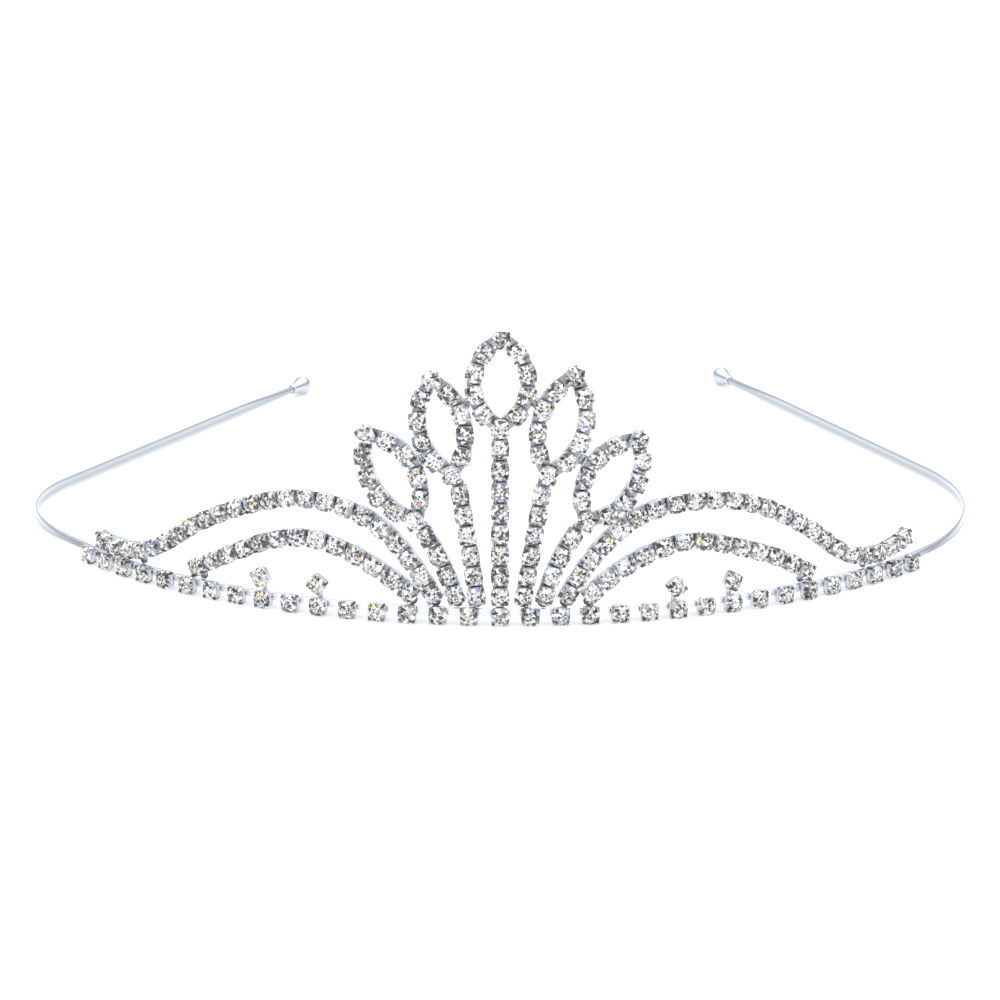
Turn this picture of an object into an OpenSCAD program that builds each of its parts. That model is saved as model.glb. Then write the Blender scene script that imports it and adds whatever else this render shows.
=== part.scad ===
// Bridal tiara: rhinestone cup chain soldered to flat backing strips on a sprung wire headband.
// -Y is the front and +Z is up; left (-X) and right (+X) are as seen from the front. The origin is
// on the resting plane, below the middle of the whole object.

/* [Headband] */
// Radius of the front of the headband, measured to the backs of the cups
band_r = 80; // [70:1:90]
// Diameter of the headband wire at the front
wire_d = 1.2; // [0.9:0.05:1.3]
// Distance along the band from the middle to where each arm starts to flex
flex_s = 73.6; // [73:0.1:76]
// Straight run of the left arm before its bend at the temple
left_run = 8.8; // [0:0.2:12]
// Straight run of the right arm before its bend at the temple
right_run = 0; // [0:0.2:12]
// Radius of the left arm's bend at the temple
left_temple_r = 27.5; // [20:0.5:50]
// Radius of the right arm's bend at the temple
right_temple_r = 43; // [20:0.5:50]
// Angle by which the left arm leans in behind the temples
left_lean = 27.5; // [15:0.5:35]
// Angle by which the right arm leans in behind the temples
right_lean = 26; // [15:0.5:35]
// Straight length of the left arm behind its bend, up to the middle of its ball
left_reach = 72; // [50:0.5:80]
// Straight length of the right arm behind its bend, up to the middle of its ball
right_reach = 70; // [50:0.5:80]
// Height of the arm wire where it is rolled flat
flat_height = 2; // [1.2:0.1:2.2]
// Thickness of the arm wire where it is rolled flat
flat_thick = 0.7; // [0.5:0.05:1]
// Diameter of the ball tips
ball_d = 3.2; // [2.6:0.1:4]

/* [Rhinestones] */
// Diameter of each stone
stone_d = 2.4; // [2.2:0.1:2.4]
// Width across the flats of each cup
cup_w = 2.72; // [2.6:0.01:2.75]
// Depth of each cup from its back to its rim
cup_depth = 1.35; // [1.2:0.05:1.6]
// Distance between cups in the close chain
close_pitch = 3.05; // [3.03:0.01:3.12]
// Distance between cups in the left half of the spaced row along the bottom
left_pitch = 4.5; // [4.2:0.02:4.5]
// Distance between cups in the right half of the spaced row along the bottom
right_pitch = 4.36; // [4.2:0.02:4.5]
// Number of cups on each side of the middle one in the bottom row
row_half = 16; // [12:1:16]

/* [Backing] */
// Width of the flat strip behind the close chain
strip_w = 2.3; // [1.6:0.1:2.5]
// Thickness of the strip
strip_t = 0.55; // [0.4:0.05:0.6]

/* [Hidden] */

silver = "gainsboro";
crystal = "lightcyan";
joint_gap = 0.02;
fine = 32;

// Heights and radii that follow from the driving dimensions
row_z = cup_w / 2;
wire_r = wire_d / 2;
wire_z = ball_d / 2;
face_r = band_r + cup_depth;
wire_path_r = band_r - joint_gap - wire_r;
strip_front_r = band_r - joint_gap;
pad_front_r = strip_front_r - strip_t - joint_gap;
pad_t = 0.45;

// Cup and stone profile, measured from the back of the cup
stone_r = stone_d / 2;
culet_r = 0.35;
culet_z = 0.45;
rim_h = 0.15;
girdle_z = cup_depth - rim_h;
girdle_t = 0.08;
crown_t = 0.4;
table_r = 0.57 * stone_r;
seat_gap = 0.02;
cup_corner_r = 0.58 * cup_w;
crown_z = girdle_z + girdle_t;
stone_top = crown_z + crown_t;
claw_w = 0.4;
claw_t = 0.4;
claw_gap = 0.04;
hook_reach = 0.2;
hook_t = 0.28;
claw_bevel = 0.25;
claw_in = stone_r + claw_gap;
claw_out = claw_in + claw_t;
hook_in = stone_r - hook_reach;
hook_z = crown_z + hook_reach * crown_t / (stone_r - table_r) + claw_gap;
claw_top = hook_z + hook_t;

// The band's plan, seen from above with the centre of its front arc as centre. Both arms are worked
// out as right ones; each is [straight run, bend radius, lean, straight length behind the bend].
left_arm = [left_run, left_temple_r, left_lean, left_reach];
right_arm = [right_run, right_temple_r, right_lean, right_reach];
socket_depth = 2.2;
flex_a = in_degrees(flex_s / face_r);
function in_degrees(turn) = turn * 180 / PI;
function bend_length(arm) = arm[1] * (90 - flex_a + arm[2]) * PI / 180;
function wire_length(arm) = arm[0] + bend_length(arm) + arm[3] + socket_depth - ball_d;
function arm_heading(d, arm) = min(flex_a + max(0, in_degrees((d - arm[0]) / arm[1])), 90 + arm[2]);
function bend_centre(arm) =
    wire_path_r * [sin(flex_a), -cos(flex_a)] + arm[0] * [cos(flex_a), sin(flex_a)]
    + arm[1] * [-sin(flex_a), cos(flex_a)];

// The arm's middle line at distance d from the flex point
function arm_point(d, arm) =
    let (a = arm_heading(d, arm), ahead = [cos(a), sin(a)],
        rest = min(d - arm[0], 0) + max(d - arm[0] - bend_length(arm), 0))
    bend_centre(arm) + arm[1] * [sin(a), -cos(a)] + rest * ahead;
function ball_point(arm) = arm_point(arm[0] + bend_length(arm) + arm[3], arm);

// The arm wire is round at both ends and rolled flat between these shares of its length
flat_from = 0.03;
flat_to = 0.97;
flat_hold = 1.25;
tip_r = 0.45;
function swell(t) =
    t < flat_from || t > flat_to ? 0 : sin(180 * (t - flat_from) / (flat_to - flat_from));

// Half height or half thickness of the arm wire at a share t of its length
function arm_half(t, flat) =
    let (plain = wire_r + (tip_r - wire_r) * t)
    plain + (flat - plain) * min(1, flat_hold * swell(t));

// The whole object is centred on the origin: the arc's centre is set off from it by these distances
function widest(arm) = bend_centre(arm).x + arm[1] + arm_half(widest_share(arm), flat_thick / 2);
function widest_share(arm) = (arm[0] + arm[1] * (90 - flex_a) * PI / 180) / wire_length(arm);
back_y = max(ball_point(left_arm).y, ball_point(right_arm).y) + ball_d / 2;
front_y = -(band_r + max(stone_top, claw_top));
axis_y = -(front_y + back_y) / 2;
axis_x = (widest(left_arm) - widest(right_arm)) / 2;

// Every point of the decoration is [distance along the band, height above the bottom row's middle]
center_foot = [0, 2.95];
center_fork = [0, 24.8];
left_inner_stem = [[-3.4, 3], [-4.2, 8.8], [-5.7, 18]];
right_inner_stem = [[3.4, 3], [4.4, 8.8], [5.9, 18]];
left_outer_stem = [[-6.5, 3.1], [-8.3, 7.6], [-10.5, 11.6]];
right_outer_stem = [[6.5, 3.1], [8.1, 7.6], [10.3, 11.5]];
left_upper_arch = [[-68, 3.1], [-61.6, 3], [-55, 5], [-46.5, 10.2], [-38, 14], [-30, 15.9],
    [-22.6, 15.1], [-17, 12.2], [-12.8, 7.6], [-9.85, 3.2]];
right_upper_arch = [[67.6, 4.2], [61, 3.1], [54.4, 4.7], [46.5, 10.2], [38, 14.5], [29.6, 15.9],
    [21.9, 15], [16.8, 12], [12.8, 7.8], [9.8, 3.2]];
left_lower_arch = [[-47.5, 3.1], [-42, 5.8], [-35, 8.9], [-28.5, 10.1], [-22.5, 8.7], [-17.2, 6],
    [-13.3, 3.2]];
right_lower_arch = [[47.3, 3.1], [42, 6], [35, 8.5], [28.5, 10], [23, 9.1], [17.5, 6.5],
    [13.3, 3.2]];

// Each leaf is [foot, tip, bulge of its left side, bulge of its right side]
center_leaf = [[0, 27.8], [0.2, 40.7], 3.9, 3.9];
left_inner_leaf = [[-7, 20.9], [-9.8, 34.5], 3.3, 3.3];
right_inner_leaf = [[6.9, 20.9], [10.6, 35.3], 3.2, 3.4];
left_outer_leaf = [[-12.4, 13.9], [-19.5, 26.2], 3, 3.9];
right_outer_leaf = [[12.5, 13.9], [20, 25.5], 3.9, 3.4];
leaf_steps = 5;

// Buds on the bottom row: [distance along the band, height, lean to the side]
buds = [[-8 * left_pitch - 0.3, 3.35, 30], [-6 * left_pitch - 0.1, 3.35, -35],
    [6 * right_pitch - 0.3, 3.35, 35], [8 * right_pitch - 0.2, 3.35, -30]];
bud_post_r = 0.4;
bud_post_top = 3.85;

// ---- Curves on the band ----

function curve_point(p, i, t) =
    let (a = p[max(i - 1, 0)], b = p[i], c = p[i + 1], d = p[min(i + 2, len(p) - 1)])
    (2 * b + (c - a) * t + (2 * a - 5 * b + 4 * c - d) * t * t
        + (3 * b - a - 3 * c + d) * t * t * t) / 2;

function smooth(p) =
    [for (i = [0:len(p) - 2]) for (t = [0:0.1:0.95]) curve_point(p, i, t), p[len(p) - 1]];

function lengths(q) =
    [for (i = 0, l = 0; i < len(q); i = i + 1, l = l + (i < len(q) ? norm(q[i] - q[i - 1]) : 0)) l];

function column(q, l, axis) = [for (i = [0:len(q) - 1]) [l[i], q[i][axis]]];

// Points at one even spacing, as near to pitch as whole steps allow
function evenly(q, pitch) =
    let (l = lengths(q), total = l[len(l) - 1], n = round(total / pitch),
        along = column(q, l, 0), up = column(q, l, 1))
    [for (i = [0:n]) [lookup(total * i / n, along), lookup(total * i / n, up)]];

// Points along an arc from a to b that bulges to its left by sag
function bow(a, b, sag, steps) =
    let (c = norm(b - a), r = (c * c / 4 + sag * sag) / (2 * sag), half = asin(c / 2 / r),
        ahead = (b - a) / c, left = [-ahead.y, ahead.x], middle = (a + b) / 2 + left * (sag - r))
    [for (i = [0:steps]) let (w = half * (2 * i / steps - 1))
        middle + r * (ahead * sin(w) + left * cos(w))];

// A leaf's closed loop: up its left side and down its right one
function leaf_loop(leaf, steps) =
    let (up = bow(leaf[0], leaf[1], leaf[2], steps), down = bow(leaf[1], leaf[0], leaf[3], steps))
    concat([for (i = [0:steps - 1]) up[i]], [for (i = [0:steps - 1]) down[i]]);

function chain(p) = evenly(smooth(p), close_pitch);
function stem_line() = [center_foot, center_fork];

function next(i, n, closed) = closed ? (i + 1) % n : min(i + 1, n - 1);
function before(i, n, closed) = closed ? (i + n - 1) % n : max(i - 1, 0);
function direction(q, i, closed) =
    let (v = q[next(i, len(q), closed)] - q[before(i, len(q), closed)]) v / norm(v);
function heading(q, i, closed) = let (v = direction(q, i, closed)) atan2(v.y, v.x);

// A point of the band as X, Y and Z, at radius r
function on_band(p, r) =
    let (a = in_degrees(p.x / face_r)) [axis_x + r * sin(a), axis_y - r * cos(a), row_z + p.y];

// Children are drawn flat, facing +Z, and land on the band's surface facing outwards
module place(p, turn = 0, r = band_r) {
    translate([axis_x, axis_y, row_z + p.y])
        rotate([0, 0, in_degrees(p.x / face_r)])
            translate([0, -r, 0])
                rotate([90, 0, 0])
                    rotate([0, 0, turn])
                        children();
}

// ---- One cup, one stone and one link ----

module cup() {
    difference() {
        intersection() {
            translate([-cup_w / 2, -cup_w / 2, 0])
                cube([cup_w, cup_w, cup_depth]);
            cylinder(r = cup_corner_r, h = cup_depth, $fn = fine);
        }
        translate([0, 0, culet_z - seat_gap])
            cylinder(r1 = culet_r + seat_gap, r2 = stone_r + seat_gap,
                h = girdle_z - culet_z + seat_gap, $fn = fine);
        translate([0, 0, girdle_z])
            cylinder(r = stone_r + seat_gap, h = cup_depth, $fn = fine);
    }
    for (corner = [45:90:315])
        rotate([0, 0, corner])
            claw();
}

// A claw stands at a corner of the cup and hooks over the edge of the stone
module claw() {
    translate([0, claw_w / 2, 0])
        rotate([90, 0, 0])
            linear_extrude(claw_w)
                polygon([
                    [claw_in, 0], [claw_out, 0], [claw_out, hook_z], [claw_out - claw_bevel, claw_top],
                    [hook_in, claw_top], [hook_in, hook_z], [claw_in, crown_z + claw_gap]
                ]);
}

module stone() {
    translate([0, 0, culet_z])
        cylinder(r1 = culet_r, r2 = stone_r, h = girdle_z - culet_z, $fn = fine);
    translate([0, 0, girdle_z])
        cylinder(r = stone_r, h = girdle_t, $fn = fine);
    translate([0, 0, girdle_z + girdle_t])
        cylinder(r1 = stone_r, r2 = table_r, h = crown_t, $fn = fine);
}

module link(length, width, thick) {
    translate([-length / 2, -width / 2, 0])
        cube([length, width, thick]);
}

// ---- Runs of cups, stones, links and strip ----

module cups_on(q, closed = false) {
    color(silver)
        for (i = [0:len(q) - 1])
            place(q[i], heading(q, i, closed))
                cup();
}

module stones_on(q, closed = false) {
    color(crystal)
        for (i = [0:len(q) - 1])
            place(q[i], heading(q, i, closed))
                stone();
}

close_link_w = 0.6;
close_link_t = 0.3;
least_link = 0.1;

// How far a cup reaches towards a link that lies at this angle to it
function reach(turn) = (cup_w / 2 + close_link_w / 2 * abs(sin(turn))) / cos(turn);

// A link fills the room between two cups, where the chain isn't bent too sharply to leave any
module links_on(q, closed = false) {
    last = closed ? len(q) - 1 : len(q) - 2;
    for (i = [0:last]) {
        j = next(i, len(q), closed);
        span = q[j] - q[i];
        ahead = atan2(span.y, span.x);
        from = reach(heading(q, i, closed) - ahead) + joint_gap;
        to = norm(span) - reach(heading(q, j, closed) - ahead) - joint_gap;
        if (to - from > least_link)
            place(q[i] + span * (from + to) / 2 / norm(span), ahead)
                link(to - from, close_link_w, close_link_t);
    }
}

// The strip's section as [across, in from its front face], with chamfered edges
chamfer = 0.15;
section = [
    [-strip_w / 2, chamfer], [-strip_w / 2 + chamfer, 0],
    [strip_w / 2 - chamfer, 0], [strip_w / 2, chamfer],
    [strip_w / 2, strip_t - chamfer], [strip_w / 2 - chamfer, strip_t],
    [-strip_w / 2 + chamfer, strip_t], [-strip_w / 2, strip_t - chamfer]
];

function strip_ring(q, i, closed) =
    let (v = direction(q, i, closed), side = [-v.y, v.x])
    [for (c = section) on_band(q[i] + c.x * side, strip_front_r - c.y)];

// Joins rings of equal size into one closed skin
module skin(rings, closed) {
    n = len(rings);
    m = len(rings[0]);
    spans = closed ? n - 1 : n - 2;
    sides = [for (i = [0:spans]) for (k = [0:m - 1])
        let (a = i * m + k, b = i * m + (k + 1) % m, c = ((i + 1) % n) * m + (k + 1) % m,
            d = ((i + 1) % n) * m + k)
        each [[a, b, c], [a, c, d]]];
    ends = closed ? [] : [for (k = [1:m - 2]) each
        [[0, k + 1, k], [(n - 1) * m, (n - 1) * m + k, (n - 1) * m + k + 1]]];
    polyhedron(points = [for (r = rings) each r], faces = concat(sides, ends));
}

function longer(q, extra) =
    let (n = len(q) - 1, a = q[0] - q[1], b = q[n] - q[n - 1])
    concat([q[0] + extra * a / norm(a)], [for (i = [1:n - 1]) q[i]], [q[n] + extra * b / norm(b)]);

module strip_on(q, closed = false) {
    color(silver)
        skin([for (i = [0:len(q) - 1]) strip_ring(q, i, closed)], closed);
}

// The strip ends a little short of the far edge of the last cup
module open_strip(p) {
    strip_on(longer(chain(p), cup_w / 2 - least_link));
}

module leaf_strip(leaf) {
    strip_on(leaf_loop(leaf, 2 * leaf_steps), true);
}

// ---- Headband ----

module headband_wire() {
    color(silver)
        translate([axis_x, axis_y, wire_z])
            rotate([0, 0, -90 - flex_a])
                rotate_extrude(angle = 2 * flex_a, $fn = 180)
                    translate([wire_path_r, 0])
                        circle(r = wire_r, $fn = fine);
}

arm_rings = 44;
arm_sides = 12;
split_gap = 0.22;
module arm_wire(arm) {
    total = wire_length(arm);
    rings = [for (i = [0:arm_rings])
        let (t = i / arm_rings, d = split_gap + (total - split_gap) * t, p = arm_point(d, arm),
            a = arm_heading(d, arm), out = [sin(a), -cos(a)],
            tall = arm_half(t, flat_height / 2), thick = arm_half(t, flat_thick / 2))
        [for (k = [0:arm_sides - 1]) let (w = 360 * k / arm_sides, f = thick * cos(w))
            [p.x + f * out.x, p.y + f * out.y, wire_z + tall * sin(w)]]];
    skin(rings, false);
}

// A ball with a flared neck and a blind bore that takes the end of the wire
neck_foot = ball_d / 4;
neck_top = 3.4;
neck_r1 = 0.42 * ball_d;
neck_r2 = 0.62;
bore_gap = 0.06;
bore_spare = 0.1;
module ball_tip(arm) {
    p = ball_point(arm);
    translate([p.x, p.y, wire_z])
        rotate([0, 0, arm[2]])
            rotate([90, 0, 0])
                difference() {
                    union() {
                        sphere(r = ball_d / 2, $fn = 64);
                        translate([0, 0, neck_foot])
                            cylinder(r1 = neck_r1, r2 = neck_r2, h = neck_top - neck_foot, $fn = 64);
                    }
                    translate([0, 0, ball_d - socket_depth - bore_spare])
                        cylinder(r = tip_r + bore_gap, h = neck_top, $fn = fine);
                }
}

module on_right() translate([axis_x, axis_y, 0]) children();
module on_left() translate([axis_x, axis_y, 0]) mirror([1, 0, 0]) children();

module right_arm_wire() color(silver) on_right() arm_wire(right_arm);
module left_arm_wire() color(silver) on_left() arm_wire(left_arm);
module right_ball_tip() color("whitesmoke") on_right() ball_tip(right_arm);
module left_ball_tip() color("whitesmoke") on_left() ball_tip(left_arm);

// ---- Bottom row ----

row = [for (i = [-row_half:row_half]) [i * (i < 0 ? left_pitch : right_pitch), 0]];
row_link_w = 1.1;
row_link_t = 0.3;
row_link_up = 0.4;

module row_cups() cups_on(row);
module row_stones() stones_on(row);
module row_links() {
    color(silver)
        for (i = [0:len(row) - 2])
            place((row[i] + row[i + 1]) / 2 + [0, row_link_up])
                link((row[i + 1] - row[i]).x - cup_w - 4 * joint_gap, row_link_w, row_link_t);
}

module bud_cups() {
    color(silver)
        for (b = buds)
            place(b, b[2])
                cup();
}

module bud_stones() {
    color(crystal)
        for (b = buds)
            place(b, b[2])
                stone();
}

module bud_posts() {
    foot = wire_z + wire_r + joint_gap;
    color(silver)
        for (b = buds)
            place([b.x, foot - row_z], 0, band_r - joint_gap - bud_post_r)
                rotate([-90, 0, 0])
                    cylinder(r = bud_post_r, h = bud_post_top + row_z - foot, $fn = fine);
}

// ---- Stems, leaves and arches ----

module center_stem_strip() open_strip(stem_line());
module center_stem_cups() cups_on(chain(stem_line()));
module center_stem_stones() stones_on(chain(stem_line()));
module left_inner_stem_strip() open_strip(left_inner_stem);
module left_inner_stem_cups() cups_on(chain(left_inner_stem));
module left_inner_stem_stones() stones_on(chain(left_inner_stem));
module right_inner_stem_strip() open_strip(right_inner_stem);
module right_inner_stem_cups() cups_on(chain(right_inner_stem));
module right_inner_stem_stones() stones_on(chain(right_inner_stem));
module left_outer_stem_strip() open_strip(left_outer_stem);
module left_outer_stem_cups() cups_on(chain(left_outer_stem));
module left_outer_stem_stones() stones_on(chain(left_outer_stem));
module right_outer_stem_strip() open_strip(right_outer_stem);
module right_outer_stem_cups() cups_on(chain(right_outer_stem));
module right_outer_stem_stones() stones_on(chain(right_outer_stem));

module center_leaf_strip() leaf_strip(center_leaf);
module center_leaf_cups() cups_on(leaf_loop(center_leaf, leaf_steps), true);
module center_leaf_stones() stones_on(leaf_loop(center_leaf, leaf_steps), true);
module left_inner_leaf_strip() leaf_strip(left_inner_leaf);
module left_inner_leaf_cups() cups_on(leaf_loop(left_inner_leaf, leaf_steps), true);
module left_inner_leaf_stones() stones_on(leaf_loop(left_inner_leaf, leaf_steps), true);
module right_inner_leaf_strip() leaf_strip(right_inner_leaf);
module right_inner_leaf_cups() cups_on(leaf_loop(right_inner_leaf, leaf_steps), true);
module right_inner_leaf_stones() stones_on(leaf_loop(right_inner_leaf, leaf_steps), true);
module left_outer_leaf_strip() leaf_strip(left_outer_leaf);
module left_outer_leaf_cups() cups_on(leaf_loop(left_outer_leaf, leaf_steps), true);
module left_outer_leaf_stones() stones_on(leaf_loop(left_outer_leaf, leaf_steps), true);
module right_outer_leaf_strip() leaf_strip(right_outer_leaf);
module right_outer_leaf_cups() cups_on(leaf_loop(right_outer_leaf, leaf_steps), true);
module right_outer_leaf_stones() stones_on(leaf_loop(right_outer_leaf, leaf_steps), true);

module left_upper_arch_strip() open_strip(left_upper_arch);
module left_upper_arch_cups() cups_on(chain(left_upper_arch));
module left_upper_arch_stones() stones_on(chain(left_upper_arch));
module right_upper_arch_strip() open_strip(right_upper_arch);
module right_upper_arch_cups() cups_on(chain(right_upper_arch));
module right_upper_arch_stones() stones_on(chain(right_upper_arch));
module left_lower_arch_strip() open_strip(left_lower_arch);
module left_lower_arch_cups() cups_on(chain(left_lower_arch));
module left_lower_arch_stones() stones_on(chain(left_lower_arch));
module right_lower_arch_strip() open_strip(right_lower_arch);
module right_lower_arch_cups() cups_on(chain(right_lower_arch));
module right_lower_arch_stones() stones_on(chain(right_lower_arch));

stems = [stem_line(), left_inner_stem, right_inner_stem, left_outer_stem, right_outer_stem];
leaves = [center_leaf, left_inner_leaf, right_inner_leaf, left_outer_leaf, right_outer_leaf];
arches = [left_upper_arch, right_upper_arch, left_lower_arch, right_lower_arch];

module chain_links() {
    color(silver) {
        for (p = concat(stems, arches))
            links_on(chain(p));
        for (leaf = leaves)
            links_on(leaf_loop(leaf, leaf_steps), true);
    }
}

// Discs of solder behind the strips, where one strip meets the next or the headband wire
pad_r = 0.9;
band_pad_h = wire_z + wire_r + joint_gap + pad_r - row_z;
band_pads = [0, 3.4, 6.3, 9.6, 13.1, 47.5, 60, 64];
strip_pads = [[0, 26], [-6.2, 19.4], [6.3, 19.4], [-11.4, 12.8], [11.4, 12.8],
    [-5.2, 31], [5.3, 31.2], [-11.7, 22.6], [11.9, 22.8], [-18.6, 16], [18.4, 16]];

module solder_pads() {
    color("silver") {
        for (s = band_pads)
            for (side = s == 0 ? [1] : [-1, 1])
                place([side * s, band_pad_h], 0, pad_front_r - pad_t)
                    cylinder(r = pad_r, h = pad_t, $fn = fine);
        for (p = strip_pads)
            place(p, 0, pad_front_r - pad_t)
                cylinder(r = pad_r, h = pad_t, $fn = fine);
    }
}

headband_wire();
left_arm_wire();
right_arm_wire();
left_ball_tip();
right_ball_tip();
row_cups();
row_links();
row_stones();
chain_links();
solder_pads();
bud_cups();
bud_stones();
bud_posts();
center_stem_strip();
center_stem_cups();
center_stem_stones();
left_inner_stem_strip();
left_inner_stem_cups();
left_inner_stem_stones();
right_inner_stem_strip();
right_inner_stem_cups();
right_inner_stem_stones();
left_outer_stem_strip();
left_outer_stem_cups();
left_outer_stem_stones();
right_outer_stem_strip();
right_outer_stem_cups();
right_outer_stem_stones();
center_leaf_strip();
center_leaf_cups();
center_leaf_stones();
left_inner_leaf_strip();
left_inner_leaf_cups();
left_inner_leaf_stones();
right_inner_leaf_strip();
right_inner_leaf_cups();
right_inner_leaf_stones();
left_outer_leaf_strip();
left_outer_leaf_cups();
left_outer_leaf_stones();
right_outer_leaf_strip();
right_outer_leaf_cups();
right_outer_leaf_stones();
left_upper_arch_strip();
left_upper_arch_cups();
left_upper_arch_stones();
right_upper_arch_strip();
right_upper_arch_cups();
right_upper_arch_stones();
left_lower_arch_strip();
left_lower_arch_cups();
left_lower_arch_stones();
right_lower_arch_strip();
right_lower_arch_cups();
right_lower_arch_stones();
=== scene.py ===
"""Looks for the bridal tiara: claw-set stones, soldered strips and a sprung wire headband.

Every piece is built in millimetres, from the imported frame's own nodes where they can be read, and
turned into metres at the end. Left (-X) and right (+X) are as seen from the front, which faces -Y.
"""

import math
import random

import bpy
import numpy as np
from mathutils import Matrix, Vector


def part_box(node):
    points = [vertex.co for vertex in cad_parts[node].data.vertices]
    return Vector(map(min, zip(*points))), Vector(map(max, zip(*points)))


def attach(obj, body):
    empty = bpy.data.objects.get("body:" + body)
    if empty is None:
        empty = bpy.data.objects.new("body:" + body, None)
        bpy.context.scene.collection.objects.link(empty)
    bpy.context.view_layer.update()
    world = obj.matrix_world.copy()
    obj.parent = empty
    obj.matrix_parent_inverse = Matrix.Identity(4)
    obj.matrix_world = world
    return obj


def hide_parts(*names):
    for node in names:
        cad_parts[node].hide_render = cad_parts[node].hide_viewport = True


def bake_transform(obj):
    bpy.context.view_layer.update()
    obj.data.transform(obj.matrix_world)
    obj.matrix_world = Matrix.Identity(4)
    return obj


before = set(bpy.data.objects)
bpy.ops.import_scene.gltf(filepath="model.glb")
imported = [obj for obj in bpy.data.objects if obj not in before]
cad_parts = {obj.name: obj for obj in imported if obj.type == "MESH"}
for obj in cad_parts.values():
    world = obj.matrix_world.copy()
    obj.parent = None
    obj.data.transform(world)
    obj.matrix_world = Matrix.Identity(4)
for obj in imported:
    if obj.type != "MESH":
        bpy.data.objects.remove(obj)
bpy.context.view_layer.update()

MM = 0.001
SEED = 20

# Dimensions in millimetres. Stones are drawn a little wider than the part's, so that a run reads as closed
STONE_R = 1.34
GIRDLE_Z = 1.2
GIRDLE_T = 0.08
CROWN_T = 0.4
TABLE_R = 0.76
CULET_R = 0.35
CULET_Z = 0.45
CUP_HALF = 1.345
STRIP_W = 2.3
STRIP_T = 0.55
JOINT_GAP = 0.02
WIRE_R = 0.6
WIRE_Z = 1.6
FLEX_S = 73.6
CUP_DEPTH = 1.35
BALL_D = 3.2
SOCKET = 2.2
FLAT_TALL = 1.0
FLAT_THICK = 0.35
FLAT_FROM = 0.03
FLAT_TO = 0.97
FLAT_HOLD = 2.0
# Each arm: sign of its side, straight run, bend radius, lean in degrees, straight length behind the bend
ARMS = {"left": (-1, 8.8, 27.5, 27.5, 72), "right": (1, 0, 43, 26, 70)}

FAN = ["center", "left_inner", "right_inner", "left_outer", "right_outer"]
STEMS = [place + "_stem" for place in FAN]
LEAVES = [place + "_leaf" for place in FAN]
ARCHES = ["left_upper_arch", "right_upper_arch", "left_lower_arch", "right_lower_arch"]


# ---- Reading the frame ----

FINE = 1000
CORNER_SHARE = 0.98


def points_and_edges(node):
    """A CAD node's distinct points in millimetres, and its edges as pairs of them."""
    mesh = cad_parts[node].data
    co = np.empty(len(mesh.vertices) * 3)
    mesh.vertices.foreach_get("co", co)
    ends = np.empty(len(mesh.edges) * 2, int)
    mesh.edges.foreach_get("vertices", ends)
    steps = np.round(co.reshape(-1, 3) / MM * FINE).astype(int)
    distinct, place = np.unique(steps, axis=0, return_inverse=True)
    return distinct / FINE, place.reshape(-1)[ends].reshape(-1, 2)


def solids(node):
    """The points of each separate solid of a CAD node."""
    points, edges = points_and_edges(node)
    owner = list(range(len(points)))

    def root(i):
        while owner[i] != i:
            owner[i] = owner[owner[i]]
            i = owner[i]
        return i

    for a, b in edges:
        owner[root(int(a))] = root(int(b))
    groups = {}
    for i in range(len(points)):
        groups.setdefault(root(i), []).append(i)
    found = [points[members] for members in groups.values()]
    return sorted(found, key=lambda p: tuple(np.round(p.mean(0), 2)))


def circle_through(xy):
    """Centre and radius of the circle that fits points best."""
    left = np.column_stack([2 * xy, np.ones(len(xy))])
    x, y, c = np.linalg.lstsq(left, (xy**2).sum(1), rcond=None)[0]
    return np.array([x, y]), math.sqrt(c + x * x + y * y)


row_middles = np.array([p.mean(0) for p in solids("row_stones")])
AXIS, _ = circle_through(row_middles[:, :2])
BAND_R = min(np.hypot(*(p[:, :2] - AXIS).T).min() for p in solids("row_cups"))
FACE_R = BAND_R + CUP_DEPTH
WIRE_PATH_R = BAND_R - JOINT_GAP - WIRE_R
FLEX_A = FLEX_S / FACE_R


def band_angle(point):
    """Angle of a point round the band's axis, from the front middle towards the right."""
    return math.atan2(point[0] - AXIS[0], AXIS[1] - point[1])


def on_band(s, h, r):
    """The point at distance s along the band, height h and radius r."""
    a = s / BAND_R
    return np.array([AXIS[0] + r * math.sin(a), AXIS[1] - r * math.cos(a), h])


class Setting:
    """Where one cup sits: its middle on the band, and its turn about the outward direction."""

    def __init__(self, stone, cup):
        middle = (stone.min(0) + stone.max(0)) / 2
        a = band_angle(stone.mean(0))
        self.s = a * BAND_R
        self.h = middle[2]
        along = np.array([math.cos(a), math.sin(a), 0])
        up = np.array([0, 0, 1.0])
        out = np.array([math.sin(a), -math.cos(a), 0])
        self.foot = on_band(self.s, self.h, BAND_R)
        x, y = (cup - self.foot) @ along, (cup - self.foot) @ up
        reach = np.hypot(x, y)
        corners = np.arctan2(y, x)[reach > CORNER_SHARE * reach.max()]
        turn = np.angle(np.exp(4j * (corners - math.pi / 4)).sum()) / 4
        self.x = along * math.cos(turn) + up * math.sin(turn)
        self.y = up * math.cos(turn) - along * math.sin(turn)
        self.z = out

    def place(self, local, tilt):
        """Points in the frame, from local ones with X and Y across the cup and Z out from its back."""
        a, b = tilt
        tipped = local.copy()
        tipped[:, 2] += a * local[:, 0] + b * local[:, 1]
        return self.foot + tipped @ np.array([self.x, self.y, self.z])


def settings(run):
    """One Setting for each stone of a run, paired with its nearest cup."""
    cups = solids(run + "_cups")
    middles = np.array([c.mean(0) for c in cups])
    made = []
    for stone in solids(run + "_stones"):
        nearest = np.argmin(np.linalg.norm(middles - stone.mean(0), axis=1))
        made.append(Setting(stone, cups[nearest]))
    return made


# ---- Building meshes ----


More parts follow.
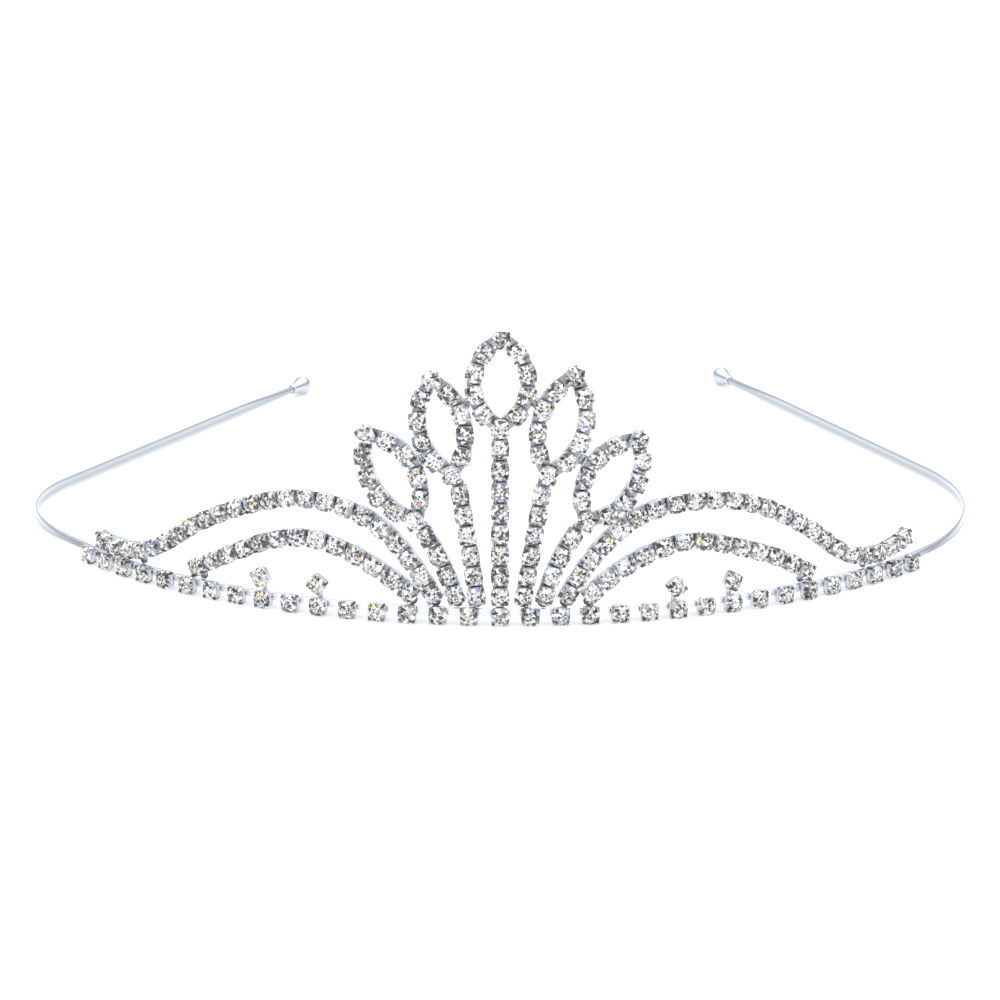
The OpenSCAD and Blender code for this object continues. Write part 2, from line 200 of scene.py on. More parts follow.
class Shape:
    """Collects points, faces and a colour for each face."""

    def __init__(self):
        self.points, self.faces, self.tones = [], [], []

    def add(self, points, faces, tones):
        first = len(self.points)
        self.points += [tuple(p) for p in points]
        self.faces += [[first + i for i in f] for f in faces]
        self.tones += tones if isinstance(tones, list) else [tones] * len(faces)

    def finish(self, name, material, slot, smooth=True):
        mesh = bpy.data.meshes.new(name)
        mesh.from_pydata([Vector(p) * MM for p in self.points], [], self.faces)
        mesh.validate()
        layer = mesh.color_attributes.new("tone", "FLOAT_COLOR", "CORNER")
        colours = []
        for face, tone in zip(mesh.polygons, self.tones):
            colours += [*tone, 1.0] * face.loop_total
        layer.data.foreach_set("color", colours)
        mesh.polygons.foreach_set("use_smooth", [smooth] * len(mesh.polygons))
        mesh.materials.append(material)
        obj = bpy.data.objects.new(name, mesh)
        bpy.context.scene.collection.objects.link(obj)
        return obj


def ring_faces(rings, sides, closed=False):
    """Quads between rings of equal size, each ring closed on itself."""
    faces = []
    for i in range(rings if closed else rings - 1):
        j = (i + 1) % rings
        for k in range(sides):
            m = (k + 1) % sides
            faces.append([i * sides + k, i * sides + m, j * sides + m, j * sides + k])
    return faces


def cap(ring, sides, flip=False):
    """The face that closes a tube at one of its rings."""
    face = [ring * sides + k for k in range(sides)]
    return face[::-1] if flip else face


def turned(points, w):
    """Points turned by the angle w about Z."""
    x, y, z = points.T
    return np.column_stack([
        x * math.cos(w) - y * math.sin(w),
        x * math.sin(w) + y * math.cos(w),
        z,
    ])


def signed_power(value, power):
    return math.copysign(abs(value) ** power, value)


WHITE = (1.0, 1.0, 1.0)


def grey(level, warmth=0.0):
    """A grey, turned towards orange by warmth or towards blue by a negative one."""
    return (min(1, level * (1 + warmth)), level, max(0, level * (1 - warmth)))


# ---- Cup ----

CUP_SIDES = 32
CUP_POWER = 3.6
ROUND_POWER = 2
# Painted shade on the cups: darkest in the pocket round the stone, darker at the rim's edge and low on the
# sides, a little darker on the upper sides than on the claws
POCKET_SHADE = (0.3, 0.29, 0.28)
RIM_EDGE_SHADE = (0.6, 0.6, 0.6)
SIDE_SHADE = (0.85, 0.87, 0.9)
LOW_SIDE_SHADE = (0.6, 0.61, 0.63)
# Each ring of the cup's wall: height, half width, squareness from 0 (round) to 1, and its tone, which is
# painted shade: light up the outer side, darker low down and at the rim's edge, darkest in the pocket
CUP_RINGS = [
    (0.0, 0.95, 1, LOW_SIDE_SHADE),
    (0.05, 1.16, 1, LOW_SIDE_SHADE),
    (0.22, 1.27, 1, LOW_SIDE_SHADE),
    (0.7, 1.32, 1, SIDE_SHADE),
    (1.0, CUP_HALF, 1, SIDE_SHADE),
    ("rim", CUP_HALF - 0.03, 1, RIM_EDGE_SHADE),
    ("rim", 1.25, 0.85, POCKET_SHADE),
    (1.0, 1.17, 0, POCKET_SHADE),
]
RIM_LOW = 1.12
RIM_RISE = 0.24
RIM_CURVE = 1.5


def cup_wall():
    """A cup's points, faces and tones of painted shade. Its rim rises to the corners, where the claws
    stand.
    """
    points = []
    for height, half, square, _ in CUP_RINGS:
        power = ROUND_POWER + (CUP_POWER - ROUND_POWER) * square
        for k in range(CUP_SIDES):
            w = 2 * math.pi * k / CUP_SIDES
            x = half * signed_power(math.cos(w), 2 / power)
            y = half * signed_power(math.sin(w), 2 / power)
            rim = RIM_LOW + RIM_RISE * abs(math.sin(2 * w)) ** RIM_CURVE
            points.append((x, y, rim if height == "rim" else height))
    rings = len(CUP_RINGS)
    faces = ring_faces(rings, CUP_SIDES)
    faces += [cap(0, CUP_SIDES, flip=True), cap(rings - 1, CUP_SIDES)]
    tones = [tone for _, _, _, tone in CUP_RINGS[:-1] for _ in range(CUP_SIDES)]
    return np.array(points), faces, [*tones, LOW_SIDE_SHADE, POCKET_SHADE]


# The claw's outer line as radius and height, with its half width at each point
CLAW_LINE = [
    (1.5, 0.25, 0.2),
    (1.6, 0.7, 0.2),
    (1.63, 1.15, 0.2),
    (1.6, 1.42, 0.19),
    (1.48, 1.62, 0.18),
    (1.32, 1.7, 0.16),
    (1.18, 1.7, 0.12),
]
CLAW_T = 0.2
CLAW_TIP_SHARE = 0.6
CLAW_SIDES = 8
CLAW_POWER = 0.6


def claw():
    """One claw's points and faces, standing out along X."""
    line = np.array(CLAW_LINE)
    points = []
    for i, (r, z, half) in enumerate(line):
        ahead = line[min(i + 1, len(line) - 1), :2] - line[max(i - 1, 0), :2]
        ahead /= np.hypot(*ahead)
        inward = np.array([-ahead[1], ahead[0]])
        thick = CLAW_T / 2 * (CLAW_TIP_SHARE if i == len(line) - 1 else 1)
        for k in range(CLAW_SIDES):
            w = 2 * math.pi * (k + 0.5) / CLAW_SIDES
            wide = half * signed_power(math.cos(w), CLAW_POWER)
            deep = thick * (1 - signed_power(math.sin(w), CLAW_POWER))
            at = np.array([r, z]) + inward * deep
            points.append((at[0], wide, at[1]))
    faces = ring_faces(len(line), CLAW_SIDES)
    faces += [cap(0, CLAW_SIDES), cap(len(line) - 1, CLAW_SIDES, flip=True)]
    return np.array(points), faces


def claws():
    """The four claws of a cup, in its own axes."""
    points, faces = claw()
    return [(turned(points, math.pi / 4 + corner * math.pi / 2), faces) for corner in range(4)]


# ---- Stone ----

# A stone has this many main facets, and rings of corners at these radii on its crown
MAIN = 10
STAR_R = 1.0
HEART_R = 0.5
HEART_DIP = 0.02
GIRDLE_TOP = GIRDLE_Z + GIRDLE_T
TABLE_Z = GIRDLE_TOP + CROWN_T


def crown_z(r):
    """Height of the crown at radius r."""
    return GIRDLE_TOP + CROWN_T * (STONE_R - r) / (STONE_R - TABLE_R)


def facets():
    """A round brilliant's points and facets, with the zone of each facet."""
    step = 2 * math.pi / MAIN
    around = 2 * MAIN

    def ring(count, r, z, shift=0.0):
        angles = [2 * math.pi * k / count + shift for k in range(count)]
        return [(r * math.cos(w), r * math.sin(w), z) for w in angles]

    points = [(0, 0, TABLE_Z - HEART_DIP)]
    points += ring(MAIN, HEART_R, TABLE_Z, step / 2)
    points += ring(MAIN, TABLE_R, TABLE_Z - HEART_DIP)
    points += ring(MAIN, STAR_R, crown_z(STAR_R), step / 2)
    points += ring(around, STONE_R, GIRDLE_TOP)
    points += ring(around, STONE_R, GIRDLE_Z)
    points += ring(around, CULET_R, CULET_Z)
    heart, table, star, top = [1 + MAIN * rings for rings in range(4)]
    low, culet = top + around, top + 2 * around
    faces, zones = [], []

    def face(zone, *corners):
        faces.append(list(corners))
        zones.append(zone)

    for i in range(MAIN):
        j, back = (i + 1) % MAIN, (i - 1) % MAIN
        face("heart", 0, heart + back, heart + i)
        face("table", heart + i, table + i, table + j)
        face("table", heart + back, table + i, heart + i)
        face("star", table + i, star + i, table + j)
        face("main", table + i, star + back, top + 2 * i, star + i)
        face("girdle", star + i, top + 2 * i, top + 2 * i + 1)
        face("girdle", star + i, top + 2 * i + 1, top + (2 * i + 2) % around)
    for k in range(around):
        m = (k + 1) % around
        face("back", top + k, low + k, low + m, top + m)
        face("back", low + k, culet + k, culet + m, low + m)
    face("back", *[culet + k for k in range(around - 1, -1, -1)])
    return np.array(points), faces, zones


# Share of facets painted dark and of facets painted middle grey in each zone of a stone, as painted
# reflections; the rest are painted light
ZONE_SHARES = {
    "heart": (0.33, 0.27),
    "table": (0.31, 0.29),
    "star": (0.25, 0.33),
    "main": (0.28, 0.3),
    "girdle": (0.36, 0.24),
    "back": (0.2, 0.8),
}
# Rare painted coloured sparks, and the levels and warmths of the dark, middle and light painted
# reflections
PAINTED_SPARK_SHARE = 0.014
PAINTED_SPARKS = [(0.12, 0.3, 1.0), (0.3, 0.6, 1.0), (1.0, 0.7, 0.15), (0.75, 0.3, 0.08), (0.45, 0.3, 0.9)]
DARK_LEVEL, DARK_WARMTHS = (0.004, 0.05), [0.0, 0.1, 0.45]
MIDDLE_LEVEL, MIDDLE_WARMTH = (0.2, 0.5), (0.0, 0.06)
LIGHT_LEVEL, LIGHT_WARMTH = (0.62, 1.0), (-0.02, 0.015)


def painted_facet_tone(rng, zone, lift):
    """A facet's colour: painted reflections of crystal over foil in black, grey or white, with a rare
    painted coloured spark.
    """
    if rng.random() < PAINTED_SPARK_SHARE and zone != "back":
        return rng.choice(PAINTED_SPARKS)
    dark, middle = ZONE_SHARES[zone]
    draw = rng.random() + lift
    if draw < dark:
        return grey(rng.uniform(*DARK_LEVEL), rng.choice(DARK_WARMTHS))
    if draw < dark + middle:
        return grey(rng.uniform(*MIDDLE_LEVEL), rng.uniform(*MIDDLE_WARMTH))
    return grey(rng.uniform(*LIGHT_LEVEL), rng.uniform(*LIGHT_WARMTH))


# ---- Materials ----

# The colour sockets of a Mix node: both inputs and the output
MIX_A, MIX_B, MIX_OUT = 6, 7, 2
NOISE_DETAIL = 3
NOISE_LOW, NOISE_HIGH = 0.3, 0.7
BUMP_DEPTH = 0.1


def material(name, colour, metallic, roughness, specular=0.5):
    """A Principled material, with its node tree and shader for what is added to it."""
    made = bpy.data.materials.new(name)
    made.use_nodes = True
    shader = made.node_tree.nodes["Principled BSDF"]
    shader.inputs["Base Color"].default_value = (*colour, 1)
    shader.inputs["Metallic"].default_value = metallic
    shader.inputs["Roughness"].default_value = roughness
    shader.inputs["Specular IOR Level"].default_value = specular
    return made, made.node_tree, shader


def add_tone(tree, shader, colour):
    """Base colour times the mesh's tone, which holds painted shade on the metal and painted reflections on
    the stones.
    """
    tone = tree.nodes.new("ShaderNodeAttribute")
    tone.attribute_name = "tone"
    times = tree.nodes.new("ShaderNodeMix")
    times.data_type = "RGBA"
    times.blend_type = "MULTIPLY"
    times.inputs["Factor"].default_value = 1
    times.inputs[MIX_B].default_value = (*colour, 1)
    tree.links.new(tone.outputs["Color"], times.inputs[MIX_A])
    tree.links.new(times.outputs[MIX_OUT], shader.inputs["Base Color"])


def add_wear(tree, shader, scale, low, high, bump):
    """Roughness that drifts between low and high, and a slight unevenness of the surface."""
    place = tree.nodes.new("ShaderNodeTexCoord")
    noise = tree.nodes.new("ShaderNodeTexNoise")
    noise.inputs["Scale"].default_value = scale
    noise.inputs["Detail"].default_value = NOISE_DETAIL
    spread = tree.nodes.new("ShaderNodeMapRange")
    spread.inputs["From Min"].default_value = NOISE_LOW
    spread.inputs["From Max"].default_value = NOISE_HIGH
    spread.inputs["To Min"].default_value = low
    spread.inputs["To Max"].default_value = high
    tree.links.new(place.outputs["Object"], noise.inputs["Vector"])
    tree.links.new(noise.outputs["Fac"], spread.inputs["Value"])
    tree.links.new(spread.outputs["Result"], shader.inputs["Roughness"])
    uneven = tree.nodes.new("ShaderNodeBump")
    uneven.inputs["Strength"].default_value = bump
    uneven.inputs["Distance"].default_value = BUMP_DEPTH * MM
    tree.links.new(noise.outputs["Fac"], uneven.inputs["Height"])
    tree.links.new(uneven.outputs["Normal"], shader.inputs["Normal"])


def metal(name, colour, roughness, wear, toned=False):
    """A metal whose wear is its noise scale, lowest and highest roughness, and bump strength."""
    made, tree, shader = material(name, colour, 1.0, roughness)
    if toned:
        add_tone(tree, shader, colour)
    add_wear(tree, shader, *wear)
    return made


cup_metal = metal("plated_cups", (0.9, 0.905, 0.92), 0.16, (900, 0.06, 0.16, 0.15), toned=True)
strip_metal = metal("plated_strip", (0.78, 0.83, 0.9), 0.2, (700, 0.14, 0.3, 0.1), toned=True)
link_metal = metal("plated_links", (0.85, 0.88, 0.93), 0.25, (700, 0.2, 0.35, 0.1))
wire_metal = metal("plated_wire", (0.8, 0.84, 0.9), 0.12, (400, 0.08, 0.18, 0.05), toned=True)
ball_metal = metal("plated_ball", (0.64, 0.67, 0.71), 0.2, (400, 0.15, 0.3, 0.05))
solder_metal = metal("solder", (0.6, 0.61, 0.63), 0.35, (1200, 0.25, 0.5, 0.5))

crystal, tree, shader = material("crystal", WHITE, 0.0, 0.04, 0.8)
# The crystal's colour is the painted reflection of each facet
add_tone(tree, shader, WHITE)
shader.inputs["IOR"].default_value = 1.55
shader.inputs["Coat Weight"].default_value = 0.6
shader.inputs["Coat Roughness"].default_value = 0.02


# ---- Cups and stones ----

WALL = cup_wall()
CLAWS = claws()
# Each claw gets one of these tones at random: painted shade that darkens the cup's corners by more or less
CLAW_SHADES = [1.0, 0.85, 0.6, 0.4, 0.25, 0.12]
CLAW_WARMTH = 0.03
BRILLIANT = facets()
TILT = 0.03
# Each stone's random shift of its painted reflections towards dark or light
LIFT = 0.08


def jewel_run(run):
    """The cups and stones of one run, as one piece each, in place of the CAD ones."""
    rng = random.Random(f"{SEED} {run}")
    cups, stones = Shape(), Shape()
    for setting in settings(run):
        tilt = (rng.gauss(0, TILT), rng.gauss(0, TILT))
        points, faces, tones = WALL
        cups.add(setting.place(points, tilt), faces, tones)
        for points, faces in CLAWS:
            cups.add(setting.place(points, tilt), faces, grey(rng.choice(CLAW_SHADES), CLAW_WARMTH))
        spin = rng.uniform(0, 2 * math.pi)
        lift = rng.gauss(0, LIFT)
        points, faces, zones = BRILLIANT
        tones = [painted_facet_tone(rng, zone, lift) for zone in zones]
        stones.add(setting.place(turned(points, spin), tilt), faces, tones)
    for shape, kind, coat, slot, smooth in (
        (cups, "_cups", cup_metal, "plated_cups", True),
        (stones, "_stones", crystal, "crystal", False),
    ):
        piece = shape.finish("fine_" + run + kind, coat, slot, smooth)
        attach(piece, "crown")
        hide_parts(run + kind)


for run in ["row", "bud", *STEMS, *LEAVES, *ARCHES]:
    jewel_run(run)


# ---- Strips behind the chains ----

STRIP_STEPS = 8
END_REACH = 1.26
MITRE_CLEAR = 1.0
MITRE_LEAST = 0.7
AXIS_CLEAR = 0.3
EDGE_R = 0.16
EDGE_STEPS = 3
SECTION_SIDES = 4 * (EDGE_STEPS + 1)
FRONT_WALL = 3 * (EDGE_STEPS + 1) - 1
BACK_WALL = EDGE_STEPS
# Painted shade on the strip: its front face, seen in the gaps between cups, and its back face are darker
# than its rounded edges
STRIP_FRONT_SHADE = (0.42, 0.41, 0.4)
STRIP_BACK_SHADE = (0.62, 0.62, 0.62)


def strip_section():
    """The strip's section as [across, in from its front face], a rectangle with rounded edges."""
    made = []
    for quarter, (cx, cy) in enumerate([(1, 1), (-1, 1), (-1, -1), (1, -1)]):
        for k in range(EDGE_STEPS + 1):
            w = math.pi / 2 * (quarter + k / EDGE_STEPS)
            across = cx * (STRIP_W / 2 - EDGE_R) + EDGE_R * math.cos(w)
            deep = STRIP_T / 2 + cy * (STRIP_T / 2 - EDGE_R) + EDGE_R * math.sin(w)
            made.append((across, deep))
    return np.array(made)


def curve(q, steps):
    """A smooth line through points, as Catmull and Rom drew it."""
    made = []
    for i in range(len(q) - 1):
        a, b, c, d = q[max(i - 1, 0)], q[i], q[i + 1], q[min(i + 2, len(q) - 1)]
        for k in range(steps):
            t = k / steps
            square = (2 * a - 5 * b + 4 * c - d) * t**2
            cube = (3 * b - a - 3 * c + d) * t**3
            made.append((2 * b + (c - a) * t + square + cube) / 2)
    return np.array([*made, q[-1]])


def in_order(flat, first):
    """Points of an open chain, from its first one to the last, each next to the one before."""
    left = list(range(len(flat)))
    left.remove(first)
    order = [first]
    while left:
        nearest = min(left, key=lambda i: np.hypot(*(flat[i] - flat[order[-1]])))
        order.append(nearest)
        left.remove(nearest)
    return flat[order]


def sweep_strip(line, widths, closed):
    """The strip's skin along a line of [s, h], each section turned square to it."""
    n = len(line)
    section = strip_section()
    points = []
    for i in range(n):
        after = line[(i + 1) % n] if closed else line[min(i + 1, n - 1)]
        before = line[i - 1] if closed else line[max(i - 1, 0)]
        v = (after - before) / np.hypot(*(after - before))
        if widths[i] > 1:
            one, two = line[i] - before, after - line[i]
            v = one / np.hypot(*one) + two / np.hypot(*two)
            v /= np.hypot(*v)
        side = np.array([-v[1], v[0]]) * widths[i]
        for across, deep in section:
            s, h = line[i] + across * side
            points.append(on_band(s, h, BAND_R - JOINT_GAP - deep))
    faces = ring_faces(n, SECTION_SIDES, closed)
    if not closed:
        faces += [cap(0, SECTION_SIDES, flip=True), cap(n - 1, SECTION_SIDES)]
    return points, faces


def open_line(flat, lowest_first):
    """A line through the cups of an open run and a little past both ends, with its widths."""
    first = int(np.argmin(flat[:, 1] if lowest_first else flat[:, 0]))
    q = in_order(flat, first)
    line = curve(q, STRIP_STEPS)
    for end, inner in ((0, 1), (-1, -2)):
        out = line[end] - line[inner]
        line[end] = line[end] + END_REACH * out / np.hypot(*out)
    return line, [1.0] * len(line)


def leaf_line(flat):
    """Up one side of a leaf and down the other, with a mitre at its foot and its tip."""
    middle = flat.mean(0)
    foot, tip = flat[np.argmin(flat[:, 1])], flat[np.argmax(flat[:, 1])]
    axis = (tip - foot) / np.hypot(*(tip - foot))
    side = (flat - middle) @ np.array([-axis[1], axis[0]])
    line, widths = [], []
    for sign in (1, -1):
        ends = {tuple(foot), tuple(tip)}
        chosen = [p for p, d in zip(flat, side) if tuple(p) in ends or sign * d > AXIS_CLEAR]
        chosen.sort(key=lambda p: sign * float(p @ axis))
        part = curve(np.array(chosen), STRIP_STEPS)
        clear = [p for p in part[1:-1]
                 if min(np.hypot(*(p - part[0])), np.hypot(*(p - part[-1]))) > MITRE_CLEAR]
        turn = np.array(clear[0]) - part[0]
        half = abs(math.atan2(*(np.array([-axis[1], axis[0]]) @ turn, axis @ turn * sign)))
        line += [part[0], *clear]
        widths += [1 / math.sin(max(half, MITRE_LEAST))] + [1.0] * len(clear)
    return np.array(line), widths


def strip(run, closed, lowest_first=True):
    """The backing strip of one run, in place of the CAD one."""
    flat = np.array([[w.s, w.h] for w in settings(run)])
    line, widths = leaf_line(flat) if closed else open_line(flat, lowest_first)
    shape = Shape()
    points, faces = sweep_strip(line, widths, closed)
    walls = len(points) if closed else len(points) - SECTION_SIDES
    wall_shades = {FRONT_WALL: STRIP_FRONT_SHADE, BACK_WALL: STRIP_BACK_SHADE}
    # Painted shade on the front and back faces; the rounded edges and the ends stay white
    tones = [wall_shades.get(i % SECTION_SIDES, WHITE) for i in range(walls)]
    shape.add(points, faces, tones + [WHITE] * (len(faces) - walls))
    piece = shape.finish("fine_" + run + "_strip", strip_metal, "plated_strip")
    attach(piece, "crown")
    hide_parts(run + "_strip")


for run in STEMS:
    strip(run, False)
for run in ARCHES:
    strip(run, False, lowest_first=False)
for run in LEAVES:
    strip(run, True)


# ---- Headband wire, arms and ball tips ----

WIRE_SIDES = 20
RING_STEP = 1.2
BLEND_HALF = 5.0
# Painted shade on the wire: how dark the sides' middle is painted along the arm and at the bend, how dark
# the inner side of the front wire is painted, and where this starts and how it eases in
ARM_SHADE = 0.5
BEND_SHADE = 0.75
INNER_SHADE = 0.5
SHADE_FROM = 0.02
SHADE_EASE = 0.08


def turn_z(a):
    """The directions away from the axis and ahead along a circle, at angle a from the front middle."""
    return np.array([math.sin(a), -math.cos(a)]), np.array([math.cos(a), math.sin(a)])


class Arm:
    """One arm's centre line, measured from the front middle along the wire, as if a right arm."""

    def __init__(self, sign, run, bend_r, lean, reach):
        self.sign, self.run, self.bend_r = sign, run, bend_r
        self.front = WIRE_PATH_R * FLEX_A
        self.end = math.pi / 2 + math.radians(lean)
        self.bend = bend_r * (self.end - FLEX_A)
        self.ball = self.front + run + self.bend + reach
        self.length = self.ball + SOCKET - BALL_D
        out, ahead = turn_z(FLEX_A)
        self.centre = (WIRE_PATH_R - bend_r) * out + run * ahead

    def at(self, d):
        """The point at distance d, off the band's axis, and the heading there."""
        if d <= self.front:
            a = d / WIRE_PATH_R
            return WIRE_PATH_R * turn_z(a)[0], a
        past = d - self.front - self.run
        a = min(FLEX_A + max(0, past / self.bend_r), self.end)
        rest = min(past, 0) + max(past - self.bend, 0)
        return self.centre + self.bend_r * turn_z(a)[0] + rest * turn_z(a)[1], a

    def share(self, d):
        """How far along the arm's own wire a distance lies, from 0 at the flex point to 1."""
        return (d - self.front) / (self.length - self.front)

    def placed(self, flat, z):
        """A point off the axis, turned to this arm's side and put in the frame."""
        return (AXIS[0] + self.sign * flat[0], AXIS[1] + flat[1], z)


def arm_half(t, flat):
    """Half height or half thickness at a share t of the arm's length, where the flat part has flat."""
    inside = FLAT_FROM < t < FLAT_TO
    swell = math.sin(math.pi * (t - FLAT_FROM) / (FLAT_TO - FLAT_FROM)) if inside else 0
    ease = min(1, FLAT_HOLD * swell)
    return WIRE_R + (flat - WIRE_R) * ease * ease * (3 - 2 * ease)


def arm_painted_shade(t, w):
    """Tone at share t and angle w: painted shade along the sides' middle, most of all where the arm
    starts, and on the inner side of the front wire.
    """
    rise = min(1, max(0, 1 + (t - SHADE_FROM) / SHADE_EASE))
    ease = min(1, max(0, (t - SHADE_FROM) / SHADE_EASE))
    side_shade = rise * (BEND_SHADE + (ARM_SHADE - BEND_SHADE) * ease)
    inner = INNER_SHADE * max(0, -math.cos(w)) * (1 - rise)
    return grey(1 - inner - side_shade * (1 - abs(math.sin(w))))


def half_wire(side, arm):
    """Half of the headband's wire, from the front middle to its tip, bent at the flex point."""
    rings = round(arm.length / RING_STEP)
    points = []
    for i in range(rings + 1):
        d = arm.length * i / rings
        middle, a = arm.at(d)
        out = turn_z(a)[0]
        tall, thick = arm_half(arm.share(d), FLAT_TALL), arm_half(arm.share(d), FLAT_THICK)
        for k in range(WIRE_SIDES):
            w = 2 * math.pi * k / WIRE_SIDES
            flat = middle + out * thick * math.cos(w)
            points.append(arm.placed(flat, WIRE_Z + tall * math.sin(w)))
    # Each face of the wire gets its painted shade
    tones = []
    for i in range(rings):
        share = arm.share(arm.length * i / rings)
        tones += [arm_painted_shade(share, 2 * math.pi * (k + 0.5) / WIRE_SIDES) for k in range(WIRE_SIDES)]
    faces = ring_faces(rings + 1, WIRE_SIDES)
    faces += [cap(0, WIRE_SIDES, flip=True), cap(rings, WIRE_SIDES)]
    if arm.sign > 0:
        faces = [f[::-1] for f in faces]
    shape = Shape()
    shape.add(points, faces, tones + [WHITE] * 2)
    piece = shape.finish(f"{side}_half_wire", wire_metal, "plated_wire")
    flex, a = arm.at(arm.front)
    ahead = BLEND_HALF * turn_z(a)[1]
    start = arm.placed(flex - ahead, WIRE_Z)
    end = arm.placed(flex + ahead, WIRE_Z)
    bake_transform(piece)
    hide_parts(side + "_arm_wire", "headband_wire")


NECK_TOP = 3.4
NECK_R = 0.78
NECK_FLARE = 1.4
BALL_R = BALL_D / 2
JOIN_AT = 0.3 * BALL_R
POLE_R = 0.02
TIP_RINGS = 28
TIP_SIDES = 32


def tip_radius(w):
    """Radius of the ball tip at distance w from the ball's middle, towards the wire."""
    if w < JOIN_AT:
        return math.sqrt(max(BALL_R * BALL_R - w * w, 0))
    join = math.sqrt(BALL_R * BALL_R - JOIN_AT**2)
    t = (w - JOIN_AT) / (NECK_TOP - JOIN_AT)
    return NECK_R + (join - NECK_R) * (1 - t) ** NECK_FLARE


def ball_tip(side, arm):
    """A ball and its neck, turned about the wire's end."""
    centre, a = arm.at(arm.ball)
    across, ahead = turn_z(a)
    points = []
    for i in range(TIP_RINGS + 1):
        t = i / TIP_RINGS
        w = -BALL_R * math.cos(math.pi * t) if t < 0.5 else NECK_TOP * (2 * t - 1)
        r = tip_radius(w) if i else POLE_R
        for k in range(TIP_SIDES):
            v = 2 * math.pi * k / TIP_SIDES
            flat = centre - ahead * w + across * r * math.cos(v)
            points.append(arm.placed(flat, WIRE_Z + r * math.sin(v)))
    faces = ring_faces(TIP_RINGS + 1, TIP_SIDES)
    faces += [cap(0, TIP_SIDES, flip=True), cap(TIP_RINGS, TIP_SIDES)]
    if arm.sign < 0:
        faces = [f[::-1] for f in faces]
    shape = Shape()
    shape.add(points, faces, WHITE)
    piece = shape.finish(f"fine_{side}_ball_tip", ball_metal, "plated_wire")
    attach(piece, side + "_arm")
    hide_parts(side + "_ball_tip")


for side, sizes in ARMS.items():
    half_wire(side, Arm(*sizes))
    ball_tip(side, Arm(*sizes))


# ---- Links, posts and solder ----

WELD = 0.001
LINK_EDGE = 0.06


def round_edges(node):
    """Welds a CAD node's split corners and rounds its edges a little."""
    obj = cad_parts[node]
    weld = obj.modifiers.new("weld", "WELD")
    weld.merge_threshold = WELD * MM
    bevel = obj.modifiers.new("bevel", "BEVEL")
    bevel.width = LINK_EDGE * MM
    bevel.segments = 2
    bevel.limit_method = "ANGLE"


def finish_node(node, coat):
    """Keeps a CAD node as it is and gives it its metal."""
    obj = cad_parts[node]
    obj.data.materials.clear()
    obj.data.materials.append(coat)


for node in ("row_links", "chain_links"):
    round_edges(node)
    finish_node(node, link_metal)
finish_node("bud_posts", link_metal)

PAD_SIDES = 20
PAD_RINGS = 6
PAD_LOBES = 3
PAD_WOBBLE = 0.05
PAD_SHARE = 0.94
PAD_TOP_SHARE = 0.02


def solder_blobs():
    """Each disc of solder as a low dome that has run a little unevenly."""
    rng = random.Random(SEED)
    shape = Shape()
    for pad in solids("solder_pads"):
        middle = (pad.min(0) + pad.max(0)) / 2
        a = band_angle(middle)
        away = np.hypot(*(pad[:, :2] - AXIS).T)
        face, back = away.max(), away.min()
        radius = (pad[:, 2].max() - pad[:, 2].min()) / 2
        lobes = [rng.uniform(0, 2 * math.pi) for _ in range(PAD_LOBES)]
        points = []
        for i in range(PAD_RINGS + 1):
            w = math.pi / 2 * i / PAD_RINGS
            for k in range(PAD_SIDES):
                v = 2 * math.pi * k / PAD_SIDES
                waves = sum(math.sin((m + 2) * v + p) for m, p in enumerate(lobes))
                wobble = 1 + PAD_WOBBLE * waves / 2
                r = radius * PAD_SHARE * wobble * max(math.cos(w), PAD_TOP_SHARE)
                depth = face - (face - back) * math.sin(w)
                s = a * BAND_R + r * math.cos(v) * BAND_R / face
                points.append(on_band(s, middle[2] + r * math.sin(v), depth))
        faces = [f[::-1] for f in ring_faces(PAD_RINGS + 1, PAD_SIDES)]
        faces += [cap(0, PAD_SIDES), cap(PAD_RINGS, PAD_SIDES, flip=True)]
        shape.add(points, faces, WHITE)
    piece = shape.finish("solder_blobs", solder_metal, "solder")
    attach(piece, "crown")
    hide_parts("solder_pads")


solder_blobs()


# ---- Stage: floor, light and camera ----

FLOOR_HALF = 6.0
FLOOR_WHITE = (0.6, 0.6, 0.6)
FLOOR_GLOW = 0.45
floor_mesh = bpy.data.meshes.new("floor")
corners = [(x * FLOOR_HALF, y * FLOOR_HALF, 0) for x, y in ((-1, -1), (1, -1), (1, 1), (-1, 1))]
floor_mesh.from_pydata(corners, [], [(0, 1, 2, 3)])
floor = bpy.data.objects.new("floor", floor_mesh)
bpy.context.scene.collection.objects.link(floor)
floor_paint, tree, shader = material("floor", FLOOR_WHITE, 0.0, 0.8, 0.1)
shader.inputs["Emission Color"].default_value = (1, 1, 1, 1)
shader.inputs["Emission Strength"].default_value = FLOOR_GLOW
floor_mesh.materials.append(floor_paint)

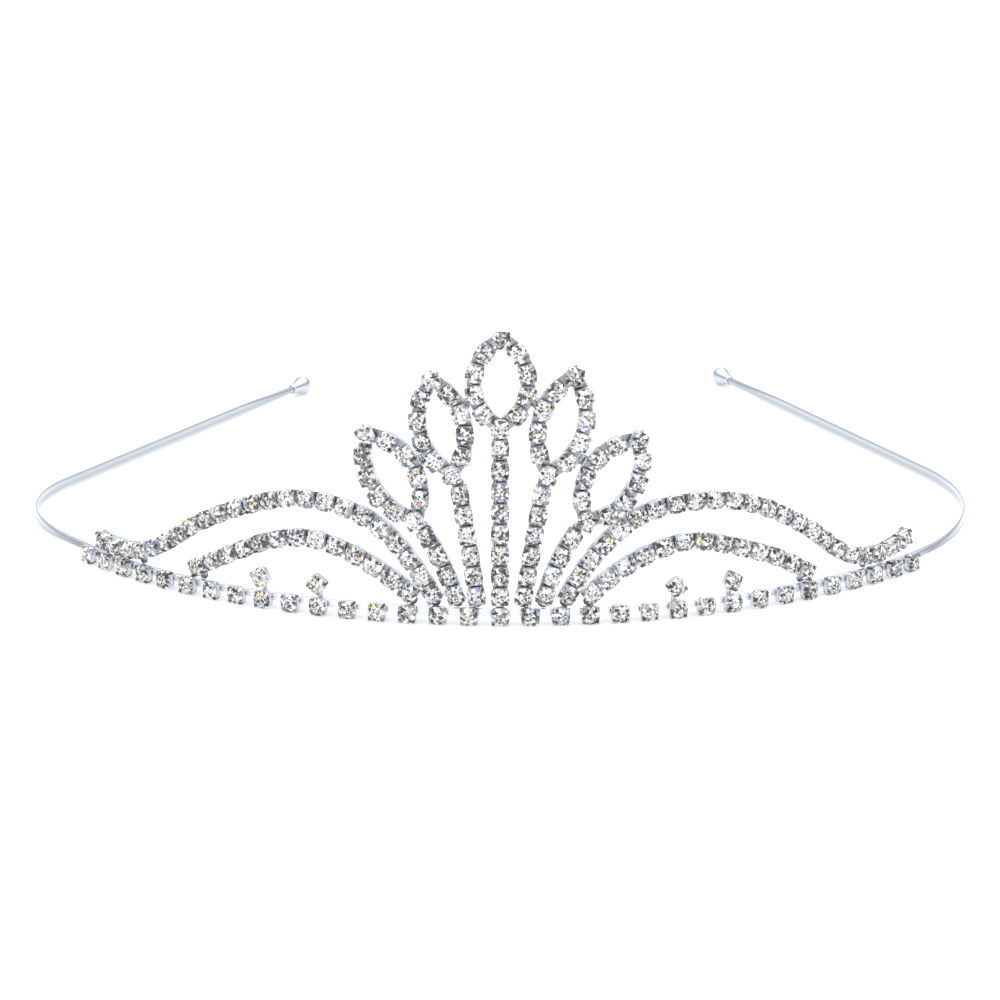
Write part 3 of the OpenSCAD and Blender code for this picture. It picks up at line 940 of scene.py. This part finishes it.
# A pale horizon, a dim band above it that gives the metal its shape, and a bright ceiling
SKY_STRENGTH = 1.75
SKY = [
    (0.14, (0.62, 0.62, 0.62)),
    (0.32, (0.3, 0.32, 0.35)),
    (0.52, (0.34, 0.36, 0.4)),
    (0.74, (1.0, 1.0, 1.0)),
]
world = bpy.data.worlds.new("studio")
bpy.context.scene.world = world
world.use_nodes = True
tree = world.node_tree
background = tree.nodes["Background"]
direction = tree.nodes.new("ShaderNodeTexCoord")
parts = tree.nodes.new("ShaderNodeSeparateXYZ")
ramp = tree.nodes.new("ShaderNodeValToRGB")
for end in (0, -1):
    ramp.color_ramp.elements[end].position = SKY[end][0]
    ramp.color_ramp.elements[end].color = (*SKY[end][1], 1)
for height, colour in SKY[1:-1]:
    ramp.color_ramp.elements.new(height).color = (*colour, 1)
tree.links.new(direction.outputs["Generated"], parts.inputs["Vector"])
tree.links.new(parts.outputs["Z"], ramp.inputs["Fac"])
tree.links.new(ramp.outputs["Color"], background.inputs["Color"])
background.inputs["Strength"].default_value = SKY_STRENGTH

LAMP_SIZE = 0.3
LAMP_AIM = Vector((0, 0, 0.02))


def area_light(name, place, power):
    """A round lamp at a place in metres, turned to the tiara, with its power in watts."""
    lamp = bpy.data.lights.new(name, "AREA")
    lamp.shape = "DISK"
    lamp.size = LAMP_SIZE
    lamp.energy = power
    obj = bpy.data.objects.new(name, lamp)
    bpy.context.scene.collection.objects.link(obj)
    obj.location = place
    obj.rotation_euler = (LAMP_AIM - Vector(place)).to_track_quat("-Z", "Y").to_euler()


area_light("key", (-0.6, -0.8, 0.9), 2.0)
area_light("fill", (0.8, -0.6, 0.6), 1.0)
area_light("back", (0.1, 0.9, 0.9), 1.0)

VIEW_DISTANCE = 0.55
VIEW_ELEVATION = math.radians(16)
VIEW_TURN = math.radians(1.1)
AIM_UP = 0.0176
LENS = 139.8
SENSOR = 36
CLIP_NEAR = 0.01
front_low, front_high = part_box("row_stones")
aim = Vector((AXIS[0] * MM, front_low.y, (front_low.z + front_high.z) / 2 + AIM_UP))
back = Vector((
    math.sin(VIEW_TURN) * math.cos(VIEW_ELEVATION),
    -math.cos(VIEW_TURN) * math.cos(VIEW_ELEVATION),
    math.sin(VIEW_ELEVATION),
))
camera_data = bpy.data.cameras.new("camera")
camera_data.lens = LENS
camera_data.sensor_width = SENSOR
camera_data.clip_start = CLIP_NEAR
camera = bpy.data.objects.new("camera", camera_data)
bpy.context.scene.collection.objects.link(camera)
camera.location = aim + VIEW_DISTANCE * back
camera.rotation_euler = (-back).to_track_quat("-Z", "Y").to_euler()
bpy.context.scene.camera = camera
bpy.context.scene.view_settings.view_transform = "Standard"
